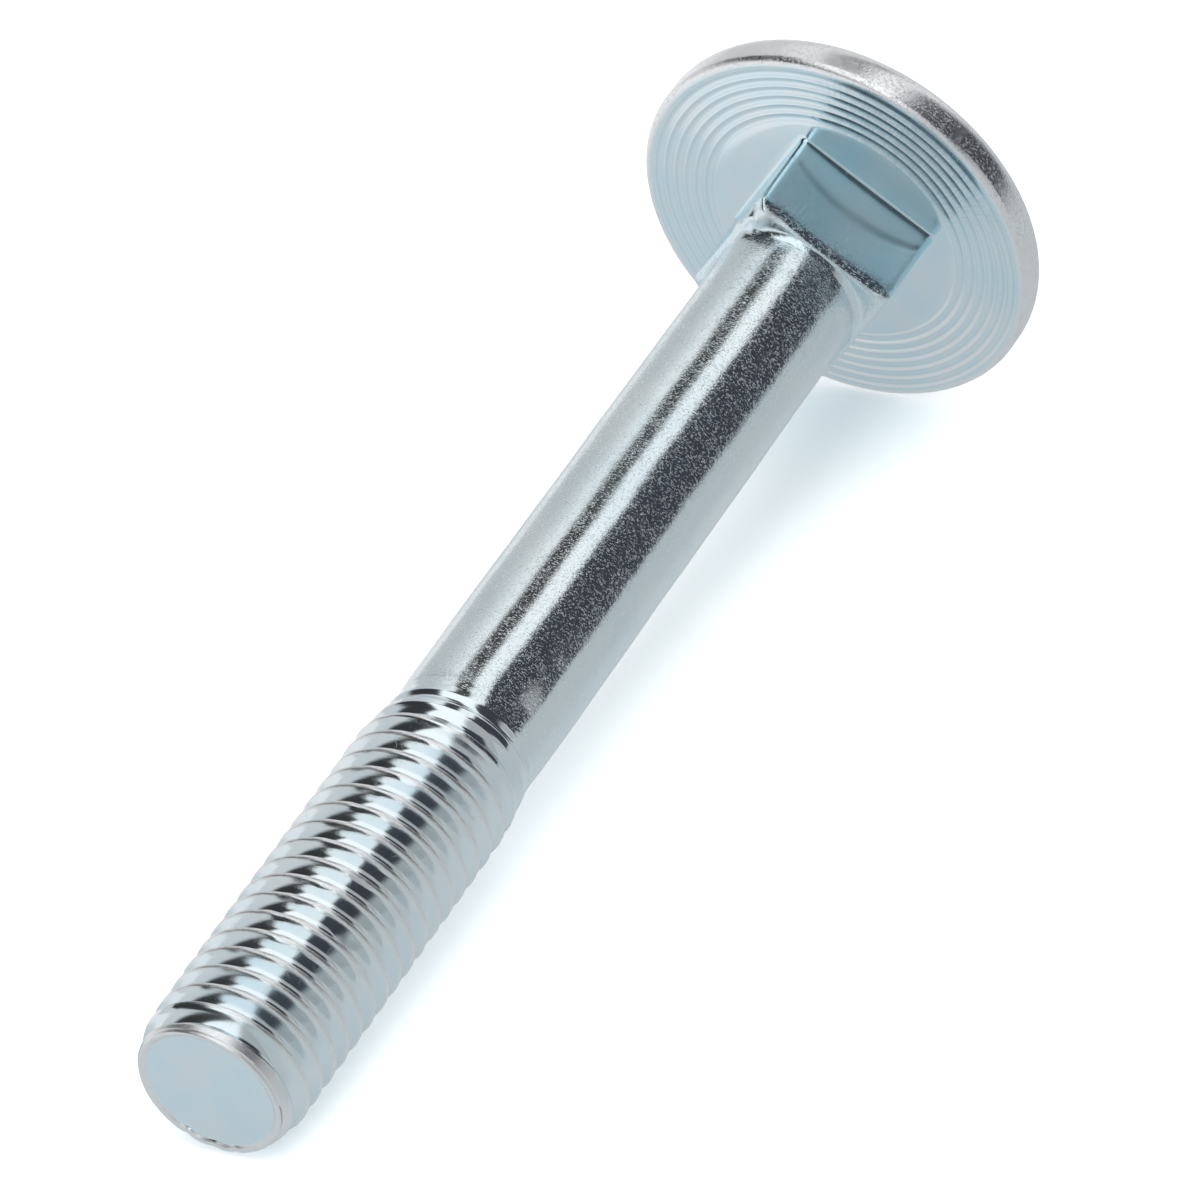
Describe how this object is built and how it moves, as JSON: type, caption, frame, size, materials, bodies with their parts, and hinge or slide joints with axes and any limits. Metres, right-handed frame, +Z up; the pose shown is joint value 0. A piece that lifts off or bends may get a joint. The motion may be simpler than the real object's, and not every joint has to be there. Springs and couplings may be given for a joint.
{
  "type": "carriage bolt",
  "caption": "Carriage bolt with a low domed head, ringed underside, square neck, plain shank and a rolled right-hand thread.",
  "frame": {"origin": "on the surface that the bolt lies on, under the middle of its bounding box", "axes": "+X along the bolt from its point towards its head, with the bolt's own axis rising 5.75 degrees towards the head; +Z up. It lies on the rim of its head and its first full thread crest."},
  "size_m": [0.0804, 0.0244, 0.0245],
  "materials": {
    "zinc": "bright zinc plate, lightly grained on the shank"
  },
  "bodies": {
    "root": {"bolt": "zinc"}
  },
  "joints": []
}
